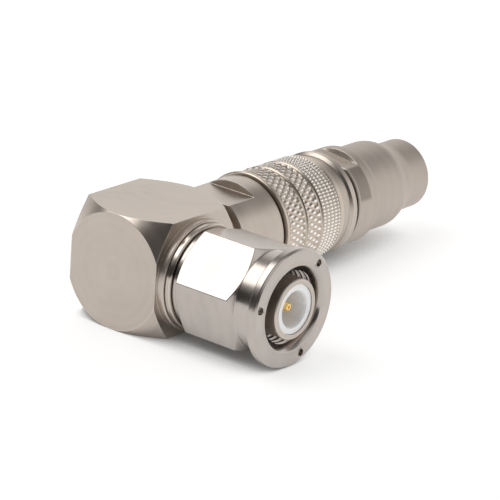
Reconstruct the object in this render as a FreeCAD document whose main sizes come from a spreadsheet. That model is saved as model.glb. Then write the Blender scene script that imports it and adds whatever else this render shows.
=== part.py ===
import FreeCAD, Part
import os
import re
import Sketcher

# Right-angle threaded coaxial plug, millimetres, +Z up.
# The origin is the centre of the nut's front face, the mating side looks along -Y
# and the cable leaves along +X. Each piece is drawn about the point where the plug
# axis and the cable axis cross, and its placement moves that point back by face_reach.
# Along the plug axis a station is a distance towards the mating side, and along the
# cable axis a distance towards the cable.

SIZES = {
    # where the pieces stand, and how they fit
    "face_reach": 24.85,        # cable axis to the nut's front face
    "seat_gap": 0.02,           # radial clearance of a seated piece
    "run_gap": 0.08,            # radial clearance of a turning piece
    "end_gap": 0.1,             # axial clearance of a turning piece
    # elbow block with its coned ends
    "block_depth": 15.2,
    "block_height": 16.5,
    "block_front": 8.0,
    "block_rear": 8.5,
    "disc_dia": 16.4,
    "boss_dia": 15.5,
    "boss_end": 8.75,
    "edge_break": 0.15,
    # elbow neck
    "relief_dia": 12.6,
    "neck_start": 10.8,
    "neck_dia": 14.9,
    "flat_height": 6.2,
    "flat_run_in": 1.0,
    "flat_end": 16.3,
    "neck_end": 19.5,
    "clip_room": 0.9,           # from the rear tube out to the union's thread
    "union_end": 24.5,
    "line_bore_dia": 7.0,
    "union_bore_dia": 9.2,
    "union_bore_depth": 4.0,
    "chamber_depth": 3.4,
    # access cap on the side away from the nut
    "cap_dia": 10.0,
    "cap_thick": 2.2,
    "cap_slot_wide": 1.2,
    "cap_slot_deep": 0.9,
    # front bush that carries the nut
    "spigot_wall": 1.2,
    "spigot_start": 4.4,
    "bush_flange_dia": 14.9,
    "bush_flange_end": 9.65,
    "journal_step": 0.4,
    "journal_end": 18.9,
    "clip_start": 12.0,
    "clip_thick": 0.9,
    "clip_depth": 0.5,
    "clip_stand": 0.5,
    "clip_gap_angle": 30,
    "clip_gap_reach": 0.7,      # of the clip's diameter
    # coupling nut
    "nut_collar_dia": 14.2,
    "nut_collar_end": 10.35,
    "nut_flats": 14.0,
    "nut_turn": 18.8,
    "hex_back": 11.1,
    "hex_front": 19.7,
    "barrel_start": 20.5,
    "barrel_dia": 13.9,
    "flange_thick": 1.85,
    "flange_bevel": 0.3,
    "flange_slope": 0.55,
    "mouth_bevel": 0.87,
    "mating_gap": 0.9,
    "thread_start": 19.3,
    "wire_hole_dia": 1.0,
    "wire_hole_turn": 78.4,
    "wire_hole_count": 3,
    # contacts and insulators of the mating side
    "shell_wall": 0.7,
    "shank_step": 0.25,
    "shell_reach": 0.33,
    "shell_start": 12.6,
    "gasket_thick": 1.0,
    "socket_dia": 4.84,
    "socket_floor": 19.6,
    "socket_inset": 0.18,
    "pin_dia": 1.35,
    "pin_inset": 1.4,
    "pin_taper": 1.0,
    "pin_point_dia": 0.5,
    "pin_body_dia": 2.2,
    "pin_body_end": 16.8,
    "pin_tail": 1.5,
    "cross_hole_dia": 1.1,
    "bead_split": 9.0,
    # line along the cable axis
    "wire_pin_tail": 1.2,
    "wire_pin_step": 1.7,
    "wire_pin_dia": 2.2,
    "wire_pin_end": 33.5,
    "cup_dia": 1.5,
    "cup_depth": 4.0,
    "neck_bead_start": 4.2,
    "neck_bead_end": 9.6,
    "rear_bead_start": 27.0,
    "rear_bead_end": 31.5,
    # knurled union sleeve
    "neck_seal_wall": 0.9,
    "sleeve_start": 19.75,
    "sleeve_dia": 15.25,
    "sleeve_nose_dia": 15.7,
    "nose_end": 20.5,
    "band_one_start": 20.7,
    "groove_one_start": 24.0,
    "groove_two_start": 27.5,
    "groove_wide": 0.65,
    "groove_depth": 0.28,
    "band_end": 31.9,
    "tail_ring_dia": 15.0,
    "sleeve_end": 33.1,
    "sleeve_clip_start": 25.2,
    # rear body
    "tube_dia": 10.8,
    "collar_waist_dia": 14.2,
    "collar_rise": 34.85,
    "collar_slope": 0.35,
    "collar_dia": 15.0,
    "collar_end": 36.15,
    "tail_thread_dia": 10.4,
    "tail_end": 44.0,
    "clamp_bore_dia": 8.6,
    "clamp_bore_start": 33.0,
    # clamp nut and what it squeezes
    "nut_seal_thick": 0.8,
    "nut_seal_dia": 13.4,
    "clamp_flats": 12.5,
    "clamp_turn": 6,
    "clamp_flats_end": 40.0,
    "clamp_land_dia": 14.4,
    "clamp_land_end": 41.4,
    "clamp_chamfer": 0.3,
    "clamp_slope": 0.8,
    "clamp_dia": 13.0,
    "shoulder_start": 48.8,
    "shoulder_end": 51.6,
    "shoulder_round": 4.5,
    "outlet_dia": 10.4,
    "outlet_end": 56.4,
    "outlet_round": 0.6,
    "chamber_end": 48.6,
    "cable_bore_dia": 7.8,
    "cable_dia": 7.0,
    "braid_dia": 6.8,
    "clamp_ring_thick": 0.8,
    "braid_nose": 5.0,
    "braid_nose_dia": 7.9,
    "washer_thick": 0.8,
    "gasket_groove": 0.6,
}

doc = FreeCAD.newDocument("right_angle_plug")
sheet = doc.addObject("Spreadsheet::Sheet", "Sizes")
for row, (name, value) in enumerate(SIZES.items(), start=1):
    sheet.set("A%d" % row, name)
    sheet.set("B%d" % row, str(value))
    sheet.setAlias("B%d" % row, name)
doc.recompute()

pieces = []

# Diameters that follow from the line's bore, outwards: the outer contact and its shank
# round the bore, the nut's thread core round the contact, and the journal and the mouth
# round that core. The union's thread leaves room for a clip round the rear tube.
SHELL_DIA = "(line_bore_dia + 2 * shell_wall)"
CORE_DIA = "(line_bore_dia + 2 * shell_wall + 2 * mating_gap)"
JOURNAL_DIA = "(%s + 2 * journal_step)" % CORE_DIA
MOUTH_DIA = "(%s + 2 * mouth_bevel)" % CORE_DIA
SPIGOT_DIA = "(line_bore_dia + 2 * spigot_wall)"
BEAD_DIA = "(line_bore_dia - 2 * seat_gap)"
SHANK_DIA = "(line_bore_dia + 2 * shell_wall + 2 * shank_step)"
UNION_DIA = "(tube_dia + 2 * clip_room)"


def bound(text):
    """A size rule with every size name pointed at its cell in the sheet."""
    def cell(match):
        word = match.group()
        return "Sizes." + word if word in SIZES else word
    return re.sub(r"[a-z][a-z_]*", cell, text)


def new_piece(label):
    """An empty body whose own origin is the crossing of the two axes."""
    body = doc.addObject("PartDesign::Body", label)
    body.Label = label
    body.setExpression("Placement.Base.y", bound("face_reach"))
    pieces.append(body)
    return body


def new_sketch(body, role, offset="0"):
    """A sketch on one of the body's own planes, lifted off it by offset."""
    plane = [item for item in body.Origin.OriginFeatures if item.Role == role][0]
    sketch = body.newObject("Sketcher::SketchObject", body.Label + "_sketch")
    sketch.AttachmentSupport = [(plane, "")]
    sketch.MapMode = "FlatFace"
    sketch.setExpression("AttachmentOffset.Base.z", bound(offset))
    return sketch


def closed_outline(sketch, points):
    """A closed run of straight edges whose corners sit at the given size rules."""
    first = sketch.GeometryCount
    count = len(points)
    for index in range(count):
        start = FreeCAD.Vector(index, index * index, 0)
        after = (index + 1) % count
        end = FreeCAD.Vector(after, after * after, 0)
        sketch.addGeometry(Part.LineSegment(start, end), False)
    for index, (across, up) in enumerate(points):
        line = first + index
        following = first + (index + 1) % count
        sketch.addConstraint(Sketcher.Constraint("Coincident", line, 2, following, 1))
        for kind, rule in (("DistanceX", across), ("DistanceY", up)):
            place = sketch.addConstraint(Sketcher.Constraint(kind, -1, 1, line, 1, 1.0))
            sketch.setExpression("Constraints[%d]" % place, bound(rule))


def round_outline(sketch, diameter, across="0", up="0"):
    """A circle centred at the given size rules."""
    circle = Part.Circle(FreeCAD.Vector(0, 0, 0), FreeCAD.Vector(0, 0, 1), 1.0)
    index = sketch.addGeometry(circle, False)
    place = sketch.addConstraint(Sketcher.Constraint("Diameter", index, 2.0))
    sketch.setExpression("Constraints[%d]" % place, bound(diameter))
    for kind, rule in (("DistanceX", across), ("DistanceY", up)):
        place = sketch.addConstraint(Sketcher.Constraint(kind, -1, 1, index, 3, 0.5))
        sketch.setExpression("Constraints[%d]" % place, bound(rule))


def turned(body, axis, stations, cut=False):
    """Turn a half profile of (station, diameter) pairs about the plug or cable axis."""
    sketch = new_sketch(body, "XY_Plane")
    if axis == "cable":
        points = [(along, "(%s) / 2" % dia) for along, dia in stations]
    else:
        points = [("(%s) / 2" % dia, "-(%s)" % along) for along, dia in stations]
    closed_outline(sketch, points)
    kind = "PartDesign::Groove" if cut else "PartDesign::Revolution"
    feature = body.newObject(kind, body.Label + ("_bore" if cut else "_turning"))
    feature.Profile = sketch
    feature.ReferenceAxis = (sketch, ["H_Axis" if axis == "cable" else "V_Axis"])
    feature.Angle = 360
    return feature


def bored(body, axis, start, end, diameter):
    """A plain round bore between two stations."""
    stations = [(start, "0"), (start, diameter), (end, diameter), (end, "0")]
    return turned(body, axis, stations, cut=True)


def pocketed(body, sketch, length, both_ways=False):
    """Cut the sketch's shape back from its plane."""
    pocket = body.newObject("PartDesign::Pocket", body.Label + "_pocket")
    pocket.Profile = sketch
    pocket.Midplane = both_ways
    pocket.setExpression("Length", bound(length))
    return pocket


def hexagon(flats, turn):
    """Corner rules of a hexagon, its first corner turned from upright."""
    corners = []
    for index in range(6):
        angle = "(%s + %d)" % (turn, 60 * index)
        corner = "(%s) / 2 / cos(30)" % flats
        corners.append(("-%s * sin%s" % (corner, angle), "%s * cos%s" % (corner, angle)))
    return corners


def rims(shape, axis, station, diameter):
    """Names of the round edges of a turning at one station and diameter."""
    names = []
    for index, edge in enumerate(shape.Edges, start=1):
        if not isinstance(edge.Curve, Part.Circle):
            continue
        centre = edge.Curve.Center
        along = centre.x if axis == "cable" else -centre.y
        near = abs(along - station) < 0.01
        if near and abs(2 * edge.Curve.Radius - diameter) < 0.01:
            names.append("Edge%d" % index)
    return names


def rounded(body, feature, axis, places, radius):
    """Round the rims of a turning at the given (station, diameter) size names."""
    doc.recompute()
    names = []
    for station, diameter in places:
        names += rims(feature.Shape, axis, sheet.get(station), sheet.get(diameter))
    fillet = body.newObject("PartDesign::Fillet", body.Label + "_round")
    fillet.Base = (feature, names)
    fillet.setExpression("Radius", bound(radius))
    return fillet


def bead(label, axis, start, end, outer, bore):
    """A plain drilled disc, such as an insulator or a washer."""
    body = new_piece(label)
    turned(body, axis, [(start, bore), (start, outer), (end, outer), (end, bore)])
    return body


def split_clip(label, axis, start, thick, inner, outer):
    """A flat snap ring with a gap in it."""
    body = bead(label, axis, start, "%s + %s" % (start, thick), outer, inner)
    role = "YZ_Plane" if axis == "cable" else "XZ_Plane"
    sketch = new_sketch(body, role, "%s + %s" % (start, thick))
    reach = "(%s) * clip_gap_reach" % outer
    side = "%s * sin(clip_gap_angle / 2)" % reach
    lift = "%s * cos(clip_gap_angle / 2)" % reach
    closed_outline(sketch, [("0", "0"), (side, "-" + lift), ("-" + side, "-" + lift)])
    pocketed(body, sketch, thick)
    return body


# Elbow body: one milled and turned brass block. Square in section, turned to a 45 degree
# cone at both ends, with a turned boss for the nut's bush and a neck for the cable side.
elbow = new_piece("elbow_body")
block = new_sketch(elbow, "YZ_Plane", "-block_front")
half_depth = "block_depth / 2"
half_height = "block_height / 2"
closed_outline(block, [
    ("-" + half_depth, "-" + half_height), (half_depth, "-" + half_height),
    (half_depth, half_height), ("-" + half_depth, half_height)])
bar = elbow.newObject("PartDesign::Pad", "elbow_block")
bar.Profile = block
bar.setExpression("Length", bound("block_front + block_rear"))
beyond_corners = "disc_dia + block_height"
for face, back in (("-block_front", "+"), ("block_rear", "-")):
    turned(elbow, "cable", [
        (face, "disc_dia"), ("%s %s block_height / 2" % (face, back), beyond_corners),
        (face, beyond_corners)], cut=True)
turned(elbow, "plug", [
    ("0", "0"), ("0", "boss_dia"), ("boss_end - edge_break", "boss_dia"),
    ("boss_end", "boss_dia - 2 * edge_break"), ("boss_end", "0")])
turned(elbow, "cable", [
    ("0", "0"), ("0", "relief_dia"), ("neck_start", "relief_dia"),
    ("neck_start", "neck_dia - 2 * edge_break"), ("neck_start + edge_break", "neck_dia"),
    ("neck_end - edge_break", "neck_dia"), ("neck_end", "neck_dia - 2 * edge_break"),
    ("neck_end", UNION_DIA), ("union_end - 2 * edge_break", UNION_DIA),
    ("union_end", UNION_DIA + " - 4 * edge_break"), ("union_end", "0")])
for side in ("", "-"):
    flat = new_sketch(elbow, "XZ_Plane")
    closed_outline(flat, [
        ("neck_start - flat_run_in", side + "flat_height"), ("flat_end", side + "flat_height"),
        ("flat_end", side + "neck_dia"), ("neck_start - flat_run_in", side + "neck_dia")])
    pocketed(elbow, flat, "neck_dia", both_ways=True)
bored(elbow, "plug", "-block_depth / 2", "boss_end", "line_bore_dia")
bored(elbow, "plug", "spigot_start", "boss_end", SPIGOT_DIA + " + 2 * seat_gap")
bored(elbow, "plug", "-block_depth / 2", "cap_thick + seat_gap - block_depth / 2",
      "cap_dia + 2 * seat_gap")
bored(elbow, "cable", "-chamber_depth", "union_end", "line_bore_dia")
bored(elbow, "cable", "union_end - union_bore_depth", "union_end",
      "union_bore_dia + 2 * seat_gap")

# Access cap: the screwed disc on the far side, over the soldered joint of the two pins.
cap = new_piece("access_cap")
turned(cap, "plug", [
    ("-block_depth / 2", "0"), ("-block_depth / 2", "cap_dia - 2 * edge_break"),
    ("-block_depth / 2 + edge_break", "cap_dia"), ("-block_depth / 2 + cap_thick", "cap_dia"),
    ("-block_depth / 2 + cap_thick", "0")])
slot = new_sketch(cap, "XZ_Plane", "-block_depth / 2 + cap_slot_deep")
closed_outline(slot, [
    ("-cap_dia", "-cap_slot_wide / 2"), ("cap_dia", "-cap_slot_wide / 2"),
    ("cap_dia", "cap_slot_wide / 2"), ("-cap_dia", "cap_slot_wide / 2")])
pocketed(cap, slot, "cap_slot_deep")

# Front bush: turned brass, pressed into the boss. Its journal carries the nut, and its
# front end holds the outer contact and the gasket.
bush = new_piece("front_bush")
turned(bush, "plug", [
    ("spigot_start + seat_gap", "line_bore_dia"), ("spigot_start + seat_gap", SPIGOT_DIA),
    ("boss_end + seat_gap", SPIGOT_DIA),
    ("boss_end + seat_gap", "bush_flange_dia - 2 * edge_break"),
    ("boss_end + seat_gap + edge_break", "bush_flange_dia"),
    ("bush_flange_end - edge_break", "bush_flange_dia"),
    ("bush_flange_end", "bush_flange_dia - 2 * edge_break"), ("bush_flange_end", JOURNAL_DIA),
    ("clip_start - seat_gap", JOURNAL_DIA),
    ("clip_start - seat_gap", JOURNAL_DIA + " - 2 * clip_depth"),
    ("clip_start + clip_thick + seat_gap", JOURNAL_DIA + " - 2 * clip_depth"),
    ("clip_start + clip_thick + seat_gap", JOURNAL_DIA),
    ("journal_end - edge_break", JOURNAL_DIA), ("journal_end", JOURNAL_DIA + " - 2 * edge_break"),
    ("journal_end", SHANK_DIA + " + 2 * seat_gap"),
    ("shell_start - seat_gap", SHANK_DIA + " + 2 * seat_gap"),
    ("shell_start - seat_gap", "line_bore_dia")])
split_clip(
    "nut_clip", "plug", "clip_start", "clip_thick",
    JOURNAL_DIA + " - 2 * clip_depth + 2 * seat_gap", JOURNAL_DIA + " + 2 * clip_stand")

# Coupling nut: turned from hexagon bar. Short collar, bevelled hexagon, plain barrel, a
# flange with three holes for locking wire, and the threaded mouth. The flange is as wide as
# the block is high, so that the plug stands level on both.
nut = new_piece("coupling_nut")
flange_dia = "block_height"
flange_start = "face_reach - flange_thick"
nut_back = "bush_flange_end + end_gap"
corner_dia = "nut_flats / cos(30)"
back_bore = JOURNAL_DIA + " + 2 * run_gap"
groove_bore = back_bore + " + 2 * clip_stand + 2 * seat_gap"
turned(nut, "plug", [
    (nut_back, back_bore), (nut_back, "nut_collar_dia"), ("nut_collar_end", "nut_collar_dia"),
    ("hex_back", corner_dia),
    ("hex_front", corner_dia), ("barrel_start", "barrel_dia"),
    (flange_start, "barrel_dia"), (flange_start + " + flange_slope", flange_dia),
    ("face_reach - flange_bevel", flange_dia), ("face_reach", flange_dia + " - 2 * flange_bevel"),
    ("face_reach", MOUTH_DIA), ("face_reach - mouth_bevel", CORE_DIA),
    ("thread_start", CORE_DIA), ("thread_start", back_bore),
    ("clip_start + clip_thick + end_gap", back_bore),
    ("clip_start + clip_thick + end_gap", groove_bore),
    ("clip_start - end_gap", groove_bore), ("clip_start - end_gap", back_bore)])
hexagon_cut = new_sketch(nut, "XZ_Plane", "barrel_start")
closed_outline(hexagon_cut, hexagon("nut_flats", "nut_turn"))
round_outline(hexagon_cut, "2 * nut_flats")
pocketed(nut, hexagon_cut, "barrel_start - bush_flange_end - end_gap")
wire_hole = new_sketch(nut, "XZ_Plane", "face_reach")
hole_reach = "(%s + %s) / 4" % (flange_dia, MOUTH_DIA)
round_outline(
    wire_hole, "wire_hole_dia", "-%s * sin(wire_hole_turn)" % hole_reach,
    "%s * cos(wire_hole_turn)" % hole_reach)
first_hole = pocketed(nut, wire_hole, "flange_thick")
wire_holes = nut.newObject("PartDesign::PolarPattern", "wire_holes")
wire_holes.Originals = [first_hole]
wire_holes.Axis = (wire_hole, ["N_Axis"])
wire_holes.Angle = 360
wire_holes.setExpression("Occurrences", bound("wire_hole_count"))
nut.Tip = wire_holes

# Mating side: the tubular outer contact, the rubber face gasket, the white insulator
# with its deep socket, the gilt pin inside it and the plain bead behind.
shell_end = "face_reach + shell_reach"
shell = new_piece("outer_contact")
turned(shell, "plug", [
    ("shell_start", "line_bore_dia"), ("shell_start", SHANK_DIA),
    ("journal_end + gasket_thick", SHANK_DIA), ("journal_end + gasket_thick", SHELL_DIA),
    (shell_end + " - edge_break", SHELL_DIA), (shell_end, SHELL_DIA + " - 2 * edge_break"),
    (shell_end, "line_bore_dia")])
bead("face_gasket", "plug", "journal_end", "journal_end + gasket_thick",
     CORE_DIA + " - 2 * end_gap", SHANK_DIA + " + 2 * seat_gap")
pin_hole = "pin_dia + 2 * seat_gap"
pin_body_hole = "pin_body_dia + 2 * seat_gap"
front_insulator = new_piece("front_insulator")
turned(front_insulator, "plug", [
    ("bead_split", pin_body_hole), ("bead_split", BEAD_DIA),
    (shell_end + " - socket_inset", BEAD_DIA), (shell_end + " - socket_inset", "socket_dia"),
    ("socket_floor", "socket_dia"), ("socket_floor", pin_hole),
    ("pin_body_end + seat_gap", pin_hole), ("pin_body_end + seat_gap", pin_body_hole)])
pin_tip = shell_end + " - pin_inset"
pin = new_piece("centre_pin")
turned(pin, "plug", [
    ("-pin_tail", "0"), ("-pin_tail", "pin_body_dia"), ("pin_body_end", "pin_body_dia"),
    ("pin_body_end", "pin_dia"), (pin_tip + " - pin_taper", "pin_dia"),
    (pin_tip + " - pin_point_dia / 4", "pin_point_dia"), (pin_tip, "pin_point_dia / 2"),
    (pin_tip, "0")])
bored(pin, "cable", "-pin_body_dia", "pin_body_dia", "cross_hole_dia + 2 * seat_gap")
bead("plug_bead", "plug", "spigot_start", "bead_split - seat_gap",
     BEAD_DIA, pin_body_hole)

# Line along the cable axis: the gilt wire pin with its solder cup, and the two white
# beads that hold it.
wire_pin = new_piece("wire_pin")
turned(wire_pin, "cable", [
    ("-wire_pin_tail", "0"), ("-wire_pin_tail", "cross_hole_dia"),
    ("wire_pin_step", "cross_hole_dia"), ("wire_pin_step", "wire_pin_dia"),
    ("wire_pin_end", "wire_pin_dia"), ("wire_pin_end", "cup_dia"),
    ("wire_pin_end - cup_depth", "cup_dia"), ("wire_pin_end - cup_depth", "0")])
wire_hole_rule = "wire_pin_dia + 2 * seat_gap"
bead("neck_bead", "cable", "neck_bead_start", "neck_bead_end", BEAD_DIA, wire_hole_rule)
bead("rear_bead", "cable", "rear_bead_start", "rear_bead_end", BEAD_DIA, wire_hole_rule)

# Union: the knurled sleeve turns on the neck's thread and pulls the rear body's clip
# towards the elbow. A black rubber ring closes the joint in front of it.
bead("neck_seal", "cable", "neck_end", "sleeve_start - end_gap",
     UNION_DIA + " + 2 * neck_seal_wall", UNION_DIA + " + 2 * seat_gap")
sleeve = new_piece("knurled_sleeve")
groove_floor = "sleeve_dia - 2 * groove_depth"
lip_start = "sleeve_clip_start + clip_thick + end_gap"
turned(sleeve, "cable", [
    ("sleeve_start", UNION_DIA + " + 2 * run_gap"),
    ("sleeve_start", "sleeve_nose_dia - 2 * edge_break"),
    ("sleeve_start + edge_break", "sleeve_nose_dia"),
    ("nose_end - edge_break", "sleeve_nose_dia"), ("nose_end", "sleeve_dia - 2 * edge_break"),
    ("band_one_start", "sleeve_dia - 2 * edge_break"), ("band_one_start", "sleeve_dia"),
    ("groove_one_start", "sleeve_dia"), ("groove_one_start + groove_depth / 2", groove_floor),
    ("groove_one_start + groove_wide - groove_depth / 2", groove_floor),
    ("groove_one_start + groove_wide", "sleeve_dia"),
    ("groove_two_start", "sleeve_dia"), ("groove_two_start + groove_depth / 2", groove_floor),
    ("groove_two_start + groove_wide - groove_depth / 2", groove_floor),
    ("groove_two_start + groove_wide", "sleeve_dia"),
    ("band_end", "tail_ring_dia + edge_break"), ("band_end", "tail_ring_dia"),
    ("sleeve_end - edge_break", "tail_ring_dia"), ("sleeve_end", "tail_ring_dia - 2 * edge_break"),
    ("sleeve_end", "tube_dia + 2 * run_gap"), (lip_start, "tube_dia + 2 * run_gap"),
    (lip_start, UNION_DIA + " + 2 * run_gap")])
split_clip(
    "sleeve_clip", "cable", "sleeve_clip_start", "clip_thick",
    "tube_dia - 2 * clip_depth + 2 * seat_gap", UNION_DIA + " - 2 * edge_break")

# Rear body: the turned tube behind the union, with the stepped collar that shows behind
# the sleeve and the thread that the clamp nut is screwed on.
rear = new_piece("rear_body")
collar_start = "sleeve_end + end_gap"
spigot_end = "union_end - union_bore_depth + seat_gap"
turned(rear, "cable", [
    (spigot_end, "line_bore_dia"), (spigot_end, "union_bore_dia"),
    ("union_end + seat_gap", "union_bore_dia"), ("union_end + seat_gap", "tube_dia"),
    ("sleeve_clip_start - seat_gap", "tube_dia"),
    ("sleeve_clip_start - seat_gap", "tube_dia - 2 * clip_depth"),
    ("sleeve_clip_start + clip_thick + seat_gap", "tube_dia - 2 * clip_depth"),
    ("sleeve_clip_start + clip_thick + seat_gap", "tube_dia"),
    (collar_start, "tube_dia"), (collar_start, "collar_waist_dia - 2 * edge_break"),
    (collar_start + " + edge_break", "collar_waist_dia"), ("collar_rise", "collar_waist_dia"),
    ("collar_rise + collar_slope", "collar_dia"), ("collar_end - edge_break", "collar_dia"),
    ("collar_end", "collar_dia - 2 * edge_break"), ("collar_end", "tail_thread_dia"),
    ("tail_end", "tail_thread_dia"), ("tail_end", "clamp_bore_dia"),
    ("clamp_bore_start", "clamp_bore_dia"), ("clamp_bore_start", "line_bore_dia")])

# Clamp nut: a round head with two short wrench flats, a plain barrel, a rounded shoulder
# and the outlet for the cable.
bead("nut_seal", "cable", "collar_end", "collar_end + nut_seal_thick",
     "nut_seal_dia", "tail_thread_dia + 2 * seat_gap")
clamp = new_piece("clamp_nut")
clamp_start = "collar_end + nut_seal_thick"
clamp_bore = "tail_thread_dia + 2 * seat_gap"
clamp_turning = turned(clamp, "cable", [
    (clamp_start, clamp_bore), (clamp_start, "clamp_land_dia - 2 * clamp_chamfer"),
    (clamp_start + " + clamp_chamfer", "clamp_land_dia"), ("clamp_land_end", "clamp_land_dia"),
    ("clamp_land_end + clamp_slope", "clamp_dia"), ("shoulder_start", "clamp_dia"),
    ("shoulder_end", "outlet_dia"),
    ("outlet_end", "outlet_dia"), ("outlet_end", "cable_bore_dia"),
    ("chamber_end", "cable_bore_dia"), ("chamber_end", clamp_bore)])
shoulder = rounded(
    clamp, clamp_turning, "cable",
    [("shoulder_start", "clamp_dia"), ("shoulder_end", "outlet_dia")], "shoulder_round")
rounded(clamp, shoulder, "cable", [("outlet_end", "outlet_dia")], "outlet_round")
clamp_corners = []
for along, out in ((1, 1), (-1, 1), (-1, -1), (1, -1)):
    clamp_corners.append((
        "%d * clamp_land_dia * cos(clamp_turn) - %d * clamp_flats / 2 * sin(clamp_turn)"
        % (along, out),
        "%d * clamp_land_dia * sin(clamp_turn) + %d * clamp_flats / 2 * cos(clamp_turn)"
        % (along, out)))
clamp_flat = new_sketch(clamp, "YZ_Plane", "clamp_flats_end")
closed_outline(clamp_flat, clamp_corners)
round_outline(clamp_flat, "4 * clamp_land_dia")
pocketed(clamp, clamp_flat, "clamp_flats_end - collar_end - nut_seal_thick")

# What the clamp nut squeezes: the braid clamp, a washer and the grooved rubber gasket.
squeezed_dia = "tail_thread_dia - 2 * end_gap"
braid = new_piece("braid_clamp")
turned(braid, "cable", [
    ("tail_end + seat_gap - braid_nose", "braid_dia"),
    ("tail_end + seat_gap - braid_nose", "braid_nose_dia"),
    ("tail_end + seat_gap", "clamp_bore_dia - 2 * seat_gap"), ("tail_end + seat_gap", squeezed_dia),
    ("tail_end + seat_gap + clamp_ring_thick", squeezed_dia),
    ("tail_end + seat_gap + clamp_ring_thick", "braid_dia")])
washer_start = "tail_end + clamp_ring_thick + 2 * seat_gap"
bead("clamp_washer", "cable", washer_start, washer_start + " + washer_thick",
     squeezed_dia, "cable_dia")
gasket = new_piece("clamp_gasket")
gasket_start = washer_start + " + washer_thick + seat_gap"
turned(gasket, "cable", [
    (gasket_start, "cable_dia"), (gasket_start, "cable_dia + gasket_groove"),
    (gasket_start + " + gasket_groove", "(%s + cable_dia) / 2" % squeezed_dia),
    (gasket_start, squeezed_dia + " - gasket_groove"), (gasket_start, squeezed_dia),
    ("chamber_end - seat_gap", squeezed_dia), ("chamber_end - seat_gap", "cable_dia")])

doc.recompute()
for item in doc.Objects:
    if "Invalid" in item.State or "Error" in item.State:
        raise RuntimeError("%s did not build: %s" % (item.Label, item.State))
for body in pieces:
    if body.Shape.isNull() or not body.Shape.isValid():
        raise RuntimeError("%s has no valid solid" % body.Label)
    if len(body.Shape.Solids) != 1:
        raise RuntimeError("%s is not one solid" % body.Label)

os.makedirs("parts", exist_ok=True)
for body in pieces:
    body.Shape.exportStep("parts/%s.step" % body.Label)
    box = body.Shape.BoundBox
    print("%-18s %8.1f mm3  x %.2f..%.2f  y %.2f..%.2f  z %.2f..%.2f" % (
        body.Label, body.Shape.Volume, box.XMin, box.XMax, box.YMin, box.YMax, box.ZMin, box.ZMax))
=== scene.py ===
import math

import bmesh
import bpy
from mathutils import Matrix, Vector


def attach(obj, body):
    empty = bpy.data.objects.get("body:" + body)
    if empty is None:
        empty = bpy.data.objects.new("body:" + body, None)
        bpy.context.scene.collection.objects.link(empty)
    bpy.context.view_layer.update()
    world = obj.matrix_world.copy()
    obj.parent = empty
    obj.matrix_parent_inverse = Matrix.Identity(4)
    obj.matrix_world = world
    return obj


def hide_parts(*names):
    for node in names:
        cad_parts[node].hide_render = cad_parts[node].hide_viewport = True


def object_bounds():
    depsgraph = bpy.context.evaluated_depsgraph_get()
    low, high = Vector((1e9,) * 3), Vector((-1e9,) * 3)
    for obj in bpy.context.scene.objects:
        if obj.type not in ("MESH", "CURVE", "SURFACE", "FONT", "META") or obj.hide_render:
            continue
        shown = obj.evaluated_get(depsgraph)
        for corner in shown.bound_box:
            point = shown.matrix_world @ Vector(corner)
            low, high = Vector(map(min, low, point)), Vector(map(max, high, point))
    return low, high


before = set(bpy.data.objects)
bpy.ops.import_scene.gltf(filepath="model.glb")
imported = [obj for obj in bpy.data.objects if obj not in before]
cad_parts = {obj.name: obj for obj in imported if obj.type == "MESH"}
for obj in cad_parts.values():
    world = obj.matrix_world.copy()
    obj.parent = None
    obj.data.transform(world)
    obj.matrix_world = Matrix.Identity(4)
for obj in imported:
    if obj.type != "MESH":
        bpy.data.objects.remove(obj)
cad_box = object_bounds()

# The photographer's place: a long lens about 0.42 m away, a little above the plug, looking
# at its closed end and into its mouth. The picture leans by four degrees.
AZIMUTH = math.radians(-51.747)
ELEVATION = math.radians(20.059)
LEAN = math.radians(-4.095)
DISTANCE = 0.42195
LENS_MM = 223.45
AIM = Vector((0.008745, 0.014892, 0.001923))

toward_camera = Vector((
    math.sin(AZIMUTH) * math.cos(ELEVATION),
    -math.cos(AZIMUTH) * math.cos(ELEVATION),
    math.sin(ELEVATION)))
level = Vector((math.cos(AZIMUTH), math.sin(AZIMUTH), 0))
camera_up = toward_camera.cross(level) * math.cos(LEAN) + level * math.sin(LEAN)
camera_data = bpy.data.cameras.new("camera")
camera_data.lens = LENS_MM
camera_data.sensor_width = 36
camera_data.clip_start = 0.01
camera = bpy.data.objects.new("camera", camera_data)
camera.matrix_world = Matrix.Translation(AIM + toward_camera * DISTANCE) @ Matrix(
    (camera_up.cross(toward_camera), camera_up, toward_camera)).transposed().to_4x4()
bpy.context.scene.collection.objects.link(camera)
bpy.context.scene.camera = camera
bpy.context.scene.view_settings.view_transform = "Standard"


# The light tent: a white cloth lit from above and behind the plug, a bright wall with a
# dim seam on the cable's side, a soft glow ahead of the mouth, and an unlit room elsewhere.
class Value:
    """A socket inside a node tree. Sums written with it become Math nodes."""

    def __init__(self, tree, socket):
        self.tree = tree
        self.socket = socket

    def maths(self, operation, *others):
        node = self.tree.nodes.new("ShaderNodeMath")
        node.operation = operation
        for place, item in enumerate((self,) + others):
            plug(self.tree, item, node.inputs[place])
        return Value(self.tree, node.outputs[0])

    def __add__(self, other):
        return self.maths("ADD", other)

    def __sub__(self, other):
        return self.maths("SUBTRACT", other)

    def __mul__(self, other):
        return self.maths("MULTIPLY", other)

    def __truediv__(self, other):
        return self.maths("DIVIDE", other)

    def __rsub__(self, other):
        return self.maths("MULTIPLY", -1) + other

    __radd__ = __add__
    __rmul__ = __mul__

    def step(self, low, high):
        """0 below low, 1 above high and a smooth rise between them."""
        node = self.tree.nodes.new("ShaderNodeMapRange")
        node.interpolation_type = "SMOOTHSTEP"
        plug(self.tree, self, node.inputs["Value"])
        node.inputs["From Min"].default_value = low
        node.inputs["From Max"].default_value = high
        return Value(self.tree, node.outputs["Result"])


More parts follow.
